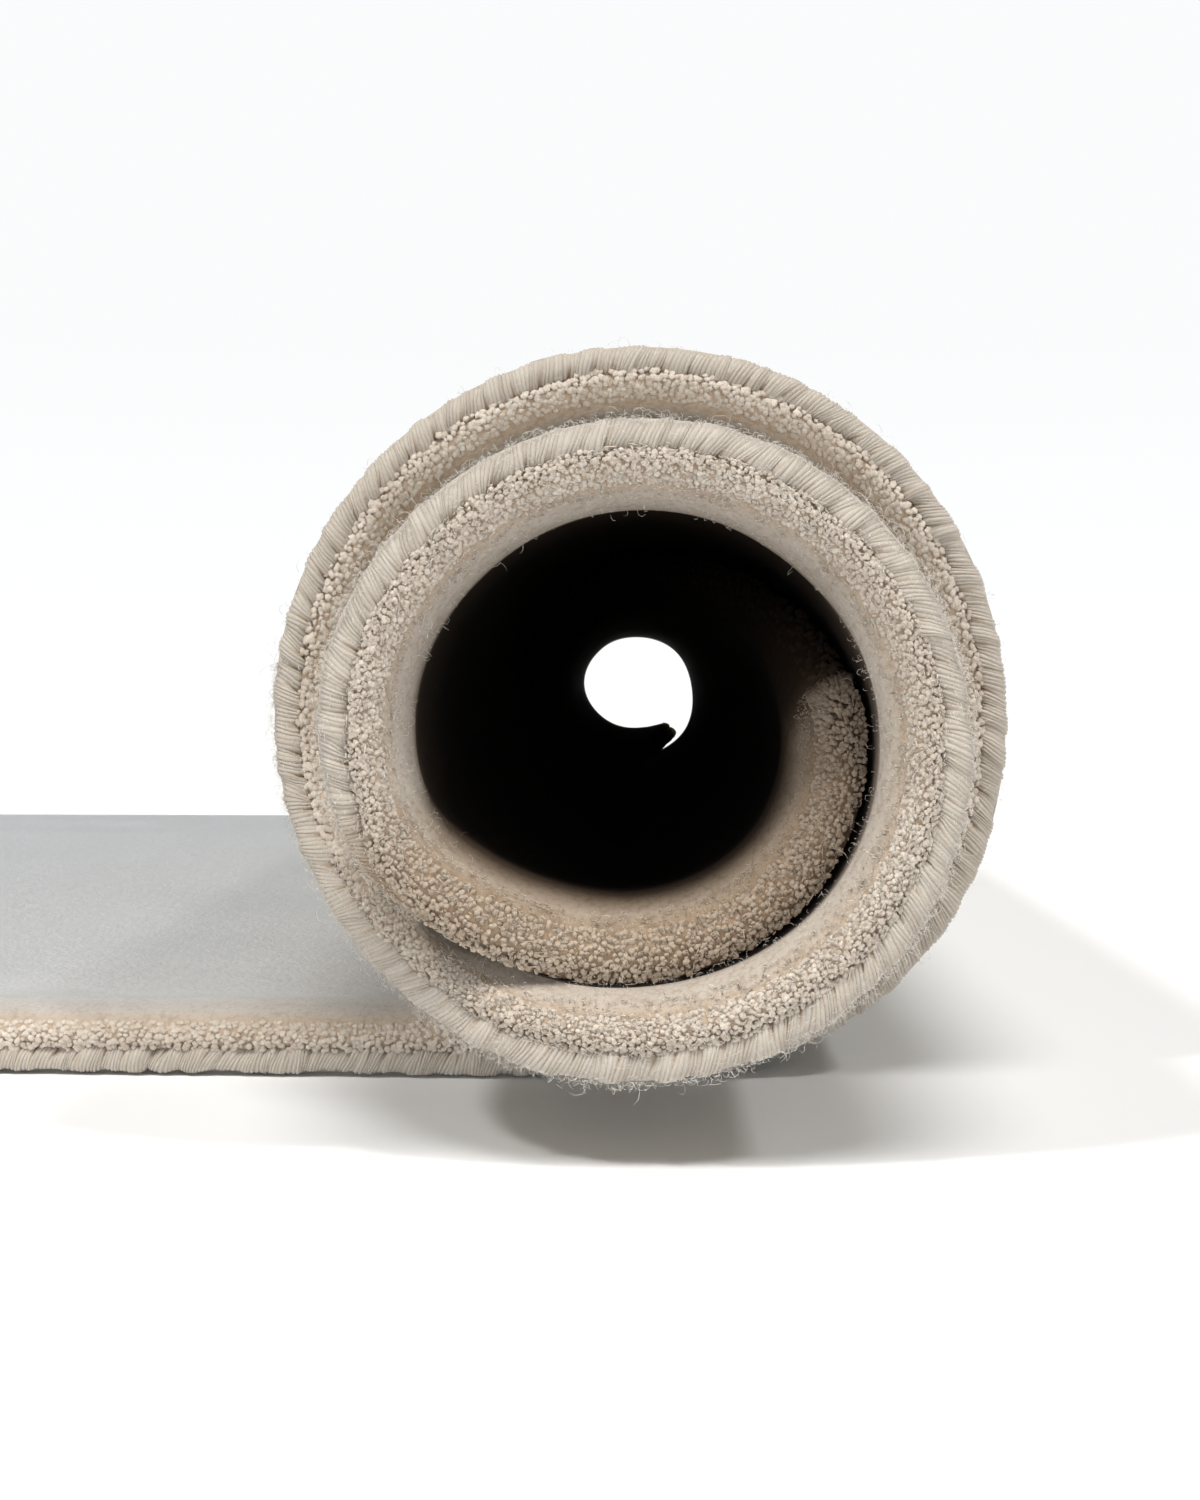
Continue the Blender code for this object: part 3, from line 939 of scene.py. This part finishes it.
# Bundles of yarn in staggered rows beside the rim. Each is a tube of two rings round the line
# from its root to its tip, closed by a point at both ends.
def makeTufts(name, start, stop, rowCount, sides, seed, coarse=1.0):
    random = np.random.default_rng(seed)
    uniform = random.uniform
    spacing, rowGap = tuftShape["along"] * coarse, tuftShape["rowGap"] * coarse
    count = int((stop - start) / spacing)
    row, column = np.meshgrid(np.arange(rowCount), np.arange(count), indexing="ij")
    row, column = row.ravel(), column.ravel()
    total = len(row)

    def either(size):
        return uniform(-1, 1, size)

    jitter = tuftShape["jitter"]
    distance = start + (column + 0.5 * (row % 2) + jitter * either(total)) * spacing
    walk = 0.0002 + (row + 0.7 * jitter * either(total)) * rowGap
    notch = np.clip(tuftShape["notch"] * softNoise(distance, 0.0042, seed + 7), -0.0003, 1.0)
    walk = np.maximum(walk + notch * np.exp(-walk / 0.002), 0.0)
    inset, height, outInset, outHeight = tipAt(walk)
    sink = rise(walk, *tuftShape["sinkFrom"])
    tipLift = uniform(-0.00026, 0.00016, total) - 0.00045 * sink - 0.0004 * (coarse - 1.0)
    length = tuftShape["length"] * uniform(0.85, 1.1, total)
    bend = tuftShape["bend"] * coarse
    leanAlong = 0.0005 * softNoise(distance, 0.009, seed + 1, walk * 3) + bend * either(total)
    leanOver = bend * either(total)
    rootInset = inset - outInset * length
    rootHeight = np.maximum(height - outHeight * length - 0.0003, 0.004)

    def placed(distanceAt, insetAt, heightAt):
        along, across = besideRim(distanceAt, insetAt)
        return rolled(along, across, pressed(along, heightAt, across))

    root = placed(distance, rootInset, rootHeight)
    tip = placed(
        distance + leanAlong,
        inset + outInset * tipLift - outHeight * leanOver,
        height + outHeight * tipLift + outInset * leanOver,
    )
    beside = placed(distance + 0.001, rootInset, rootHeight) - root
    axis = unitOf(tip - root)
    sideA = unitOf(beside - axis * (beside * axis).sum(1, keepdims=True))
    sideB = np.cross(axis, sideA)
    rings = len(tuftShape["rings"])
    turn = 2 * math.pi * (np.arange(sides) + random.random(total)[:, None]) / sides
    radius = tuftShape["radius"] * coarse * uniform(0.72, 1.22, total)
    lumps = 1.0 + 0.22 * either((total, 1, sides)) + 0.12 * either((total, rings, sides))
    squash = uniform(0.72, 1.0, total)[:, None, None]
    reach = radius[:, None, None] * tuftShape["ringSizes"][None, :, None] * lumps
    core = root[:, None, :] + (tip - root)[:, None, :] * tuftShape["rings"][None, :, None]
    walls = ringsRound(
        core, sideA[:, None, None, :], sideB[:, None, None, :], reach, reach * squash, turn[:, None, :]
    ).reshape(total, rings * sides, 3)
    tops = (tip + axis * (0.00004 + 0.0001 * random.random(total))[:, None])[:, None, :]
    points = np.concatenate([walls, tops, root[:, None, :]], axis=1)
    perTuft = rings * sides + 2
    foot, last = np.arange(sides), np.arange(sides) + (rings - 1) * sides
    topFan = np.stack([last, np.roll(last, -1), np.full(sides, perTuft - 2)], -1)
    footFan = np.stack([np.roll(foot, -1), foot, np.full(sides, perTuft - 1)], -1)
    faces = tubeFaces(total, perTuft, rings, sides, np.concatenate([topFan, footFan]))
    upTuft = np.concatenate([np.repeat(tuftShape["rings"], sides), [1.0, 0.0]])
    upTuft = upTuft + (1.0 - upTuft) * 0.8 * sink[:, None]  # no painted root shade on the flat pile
    tint = 0.55 + 0.18 * random.standard_normal(total) + 0.22 * softNoise(distance, 0.02, seed + 5, walk)
    shades = {
        "upTuft": upTuft.reshape(-1),
        "tint": np.repeat(tint.clip(0, 1), perTuft),
        "shade": np.repeat(shadeAt(*besideRim(distance, inset)), perTuft, axis=0),
        "axis": np.repeat(axis, perTuft, axis=0),
    }
    return addPiece(name, points, faces, [tuftWool], shades=shades)


turnStart = alongOf(215.0) - rimPath["start"]  # where the near edge comes to the front
ringEnd = rimPath["nearLength"] + cornerRun
ringTufts = makeTufts("ringTufts", turnStart, ringEnd, 10, 5, 41)
outerTufts = makeTufts("outerTufts", -cornerRun, turnStart, 7, 5, 42, coarse=1.4)
restTufts = makeTufts("restTufts", ringEnd, rimPath["length"] - cornerRun, 4, 4, 43, coarse=2.2)


# loose fibres along the overcast edge and over the pile's rim: "flat" is how much of a fibre's
# walk is out from the surface

fuzzShape = {"count": 8000, "radius": 0.000034, "length": 0.0017, "steps": 4, "flat": 1.0}
curlShape = {"count": 7600, "radius": 0.000125, "length": 0.0012, "steps": 4, "flat": 0.3}
lintShape = {"count": 34, "radius": 0.000045, "length": 0.0013, "steps": 6, "flat": 0.35}


# Each fibre is a thin three-sided tube along a curl: its direction turns steadily, and its steps
# add up to a walk out from the surface, sideways and deeper.
def makeFuzz(name, shape, material, seed, distance, inset, height, outInset, outHeight):
    random = np.random.default_rng(seed)
    uniform = random.uniform
    count, steps = len(distance), shape["steps"]
    length = shape["length"] * (0.4 + random.gamma(1.6, 0.5, count))
    t = np.linspace(0.0, 1.0, steps)
    curl = random.choice([-1.0, 1.0], count) * uniform(1.5, 5.5, count)
    spread = uniform(0.0, 2 * math.pi, count)
    direction = uniform(-1.3, 1.3, count)
    angle = direction[:, None] + curl[:, None] * t
    outWalk = np.cumsum(np.cos(angle), axis=1) * (length / steps)[:, None] * shape["flat"]
    sideWalk = np.cumsum(np.sin(angle), axis=1) * (length / steps)[:, None]
    sideWalk, deepWalk = sideWalk * np.cos(spread)[:, None], sideWalk * np.sin(spread)[:, None] * 0.6
    insetAt = inset[:, None] + outInset[:, None] * outWalk - outHeight[:, None] * deepWalk
    heightAt = height[:, None] + outHeight[:, None] * outWalk + outInset[:, None] * deepWalk
    foot = placeByRim(distance, inset, height)
    axis = unitOf(placeByRim(distance, inset + 0.001 * outInset, height + 0.001 * outHeight) - foot)
    rimAlong, rimAcross = besideRim(distance[:, None] + sideWalk, insetAt)
    line = rolled(rimAlong, rimAcross, pressed(rimAlong, heightAt, rimAcross))
    tangent = unitOf(np.gradient(line, axis=1))
    sideA = unitOf(np.cross(tangent, np.array([0.31, 0.52, 0.79])))  # a direction no fibre follows
    sideB = np.cross(tangent, sideA)
    turn = 2 * math.pi * np.arange(3) / 3
    taper = np.interp(t, [0.0, 0.8, 1.0], [1.0, 0.8, 0.35])
    reach = shape["radius"] * uniform(0.75, 1.25, count)[:, None, None] * taper[None, :, None]
    points = ringsRound(line, sideA[:, :, None, :], sideB[:, :, None, :], reach, reach, turn)
    perFibre = steps * 3
    ends = np.array([[2, 1, 0], [perFibre - 3, perFibre - 2, perFibre - 1]])
    shades = {
        "shade": np.repeat(shadeAt(rimAlong, rimAcross).reshape(-1, 3), 3, axis=0),
        "tint": np.repeat(uniform(0.3, 1.0, count), perFibre),
        "upTuft": np.ones(count * perFibre),
        "axis": np.repeat(axis, perFibre, axis=0),
    }
    faces = tubeFaces(count, perFibre, steps, 3, ends)
    return addPiece(name, points, faces, [material], shades=shades)


fuzzPlaces = {
    "onRing": 0.9,  # share that stands off the front of the roll, the rest further round the rug
    "before": 0.05,  # how far ahead of the ring its fibres begin
    "short": 0.09,  # how far before the inner end they stop
    "underLine": 0.6,  # share along the outer line of the overcast edge
    "onStrands": 0.84,  # up to this share, over its strands; the rest stand among the tufts
    "inward": 0.02,
}


# Where loose fibres stand and which way they point: for each a random place, and by its kind
# the outer line, the strands or the tufts' tips.
def scatterFuzz():
    random = np.random.default_rng(77)
    uniform = random.uniform
    count = fuzzShape["count"]
    ringStart = turnStart - fuzzPlaces["before"]
    distance = np.where(
        random.random(count) < fuzzPlaces["onRing"],
        uniform(ringStart, rimPath["nearLength"] - fuzzPlaces["short"], count),
        uniform(0.0, ringStart, count),
    )
    kind = random.random(count)
    tips = tipAt(uniform(0.0, fuzzPlaces["inward"], count))
    underLine = kind < fuzzPlaces["underLine"]
    onStrands = (kind > fuzzPlaces["underLine"]) & (kind < fuzzPlaces["onStrands"])
    lean = uniform(0.5, 1.0, count)
    lineInset, lineHeight = uniform(0.0001, 0.0016, count), uniform(0.0002, 0.0012, count)
    onLine = (lineInset, lineHeight, -np.sqrt(1 - lean**2), -lean)
    onStrand = (0.0003, uniform(0.0008, 0.0056, count), -0.75, 0.0)
    places = np.stack([
        np.where(onStrands, strand, np.where(underLine, line, tip))
        for tip, line, strand in zip(tips, onLine, onStrand)
    ])
    keep = ~(underLine & (distance < 0.05 - rimPath["start"]))  # none pokes into the floor
    return makeFuzz("looseFuzz", fuzzShape, looseFibre, 78, distance[keep], *places[:, keep])


curlRaise = 0.00003


# Curled ends lying over the tufts of the roll's front: a random number to the power 1.2 times
# the reach inward, so they lie thickest in the first rows.
def scatterCurls(name, shape, material, seed, inward):
    random = np.random.default_rng(seed)
    distance = random.uniform(turnStart - 0.01, ringEnd, shape["count"])
    inset, height, outInset, outHeight = tipAt(inward * random.random(shape["count"]) ** 1.2)
    inset, height = inset + curlRaise * outInset, height + curlRaise * outHeight
    return makeFuzz(name, shape, material, seed + 1, distance, inset, height, outInset, outHeight)


looseFuzz = scatterFuzz()
pileCurls = scatterCurls("pileCurls", curlShape, tuftWool, 90, 0.0105)
darkLint = scatterCurls("darkLint", lintShape, darkFibre, 95, 0.012)


# floor, light and camera

floorCorners = [(-6, -4, -0.0004), (6, -4, -0.0004), (6, 8, -0.0004), (-6, 8, -0.0004)]
floorMesh = bpy.data.meshes.new("paleFloor")
floorMesh.from_pydata(floorCorners, [], [(0, 1, 2, 3)])
floorMaterial = newMaterial("paleFloor", (0.95, 0.95, 0.95), 0.8)[0]
floorMesh.materials.append(floorMaterial)
paleFloor = bpy.data.objects.new("paleFloor", floorMesh)
bpy.context.scene.collection.objects.link(paleFloor)


# A broad soft lamp overhead, a little in front, and two smaller ones to either side: their
# shadows cross under the roll. Degrees round from the front, degrees up, strength, and degrees
# of spread.
lamps = {
    "topLamp": (0.0, 66.0, 2.15, 30.0),
    "leftLamp": (-55.0, 50.0, 0.98, 6.0),
    "rightLamp": (55.0, 50.0, 0.72, 6.0),
}
for name, (bearing, up, strength, spread) in lamps.items():
    light = bpy.data.lights.new(name, "SUN")
    light.energy = strength
    light.angle = math.radians(spread)
    light.color = (1.0, 0.99, 0.97)
    lamp = bpy.data.objects.new(name, light)
    bpy.context.scene.collection.objects.link(lamp)
    lamp.rotation_euler = (math.radians(90.0 - up), 0.0, math.radians(bearing))
    lamp.location = (0.0, 0.0, 1.0)

# each range: a part of the direction looked in, from and to there, and the strengths at those
roomLight = {
    "seen": (0.975, 0.985, 0.99, 1.0),
    "given": (0.9, 0.945, 1.0, 1.0),
    "base": 0.065,
    "inFront": ("Y", 0.0, -0.6, 0.0, 1.0),
    "lowDown": ("Z", 0.05, 0.28, 4.3, 0.06),
    "seenStrength": ("Z", 0.0, 0.16, 1.04, 0.985),
}

# The room is white to look at. Its light on things comes from low in front of the roll, with a
# little from everywhere: the share from in front, times the share from low down, plus a base.
world = bpy.data.worlds.new("paleRoom")
bpy.context.scene.world = world
world.use_nodes = True
tree = world.node_tree
heading = addNode(tree, "ShaderNodeTexCoord")
parts = addNode(tree, "ShaderNodeSeparateXYZ")
join(heading.outputs["Generated"], parts.inputs["Vector"])
toCamera = tree.nodes["Background"]
toCamera.inputs["Color"].default_value = roomLight["seen"]
toThings = addNode(tree, "ShaderNodeBackground", Color=roomLight["given"])


# A straight range between two strengths, held level beyond them.
def addRange(axis, fromMin, fromMax, toMin, toMax):
    limits = {"From_Min": fromMin, "From_Max": fromMax, "To_Min": toMin, "To_Max": toMax}
    ramp = addNode(tree, "ShaderNodeMapRange", **limits)
    join(parts.outputs[axis], ramp.inputs["Value"])
    return ramp.outputs["Result"]


share = addNode(tree, "ShaderNodeMath", operation="MULTIPLY_ADD")
join(addRange(*roomLight["inFront"]), share.inputs[0])
join(addRange(*roomLight["lowDown"]), share.inputs[1])
share.inputs[2].default_value = roomLight["base"]
join(share.outputs[0], toThings.inputs["Strength"])
join(addRange(*roomLight["seenStrength"]), toCamera.inputs["Strength"])
rayKind = tree.nodes.new("ShaderNodeLightPath")
choose = tree.nodes.new("ShaderNodeMixShader")
join(rayKind.outputs["Is Camera Ray"], choose.inputs["Fac"])
join(toThings.outputs["Background"], choose.inputs[1])
join(toCamera.outputs["Background"], choose.inputs[2])
join(choose.outputs["Shader"], tree.nodes["World Output"].inputs["Surface"])

cameraPlace = {"back": 0.356, "up": 0.083, "shift": (-0.028, -0.04), "lens": 50.0}
cameraData = bpy.data.cameras.new("rollCamera")
cameraData.lens = cameraPlace["lens"]
cameraData.sensor_width = 36.0
cameraData.sensor_fit = "AUTO"
cameraData.shift_x, cameraData.shift_y = cameraPlace["shift"]
cameraData.clip_start = 0.01
rollCamera = bpy.data.objects.new("rollCamera", cameraData)
rollCamera.location = (frameShift[0], frameShift[1] - cameraPlace["back"], cameraPlace["up"])
rollCamera.rotation_euler = (math.radians(90.0), 0.0, 0.0)
bpy.context.scene.collection.objects.link(rollCamera)
bpy.context.scene.camera = rollCamera
bpy.context.scene.view_settings.view_transform = "Standard"
print("stage set")
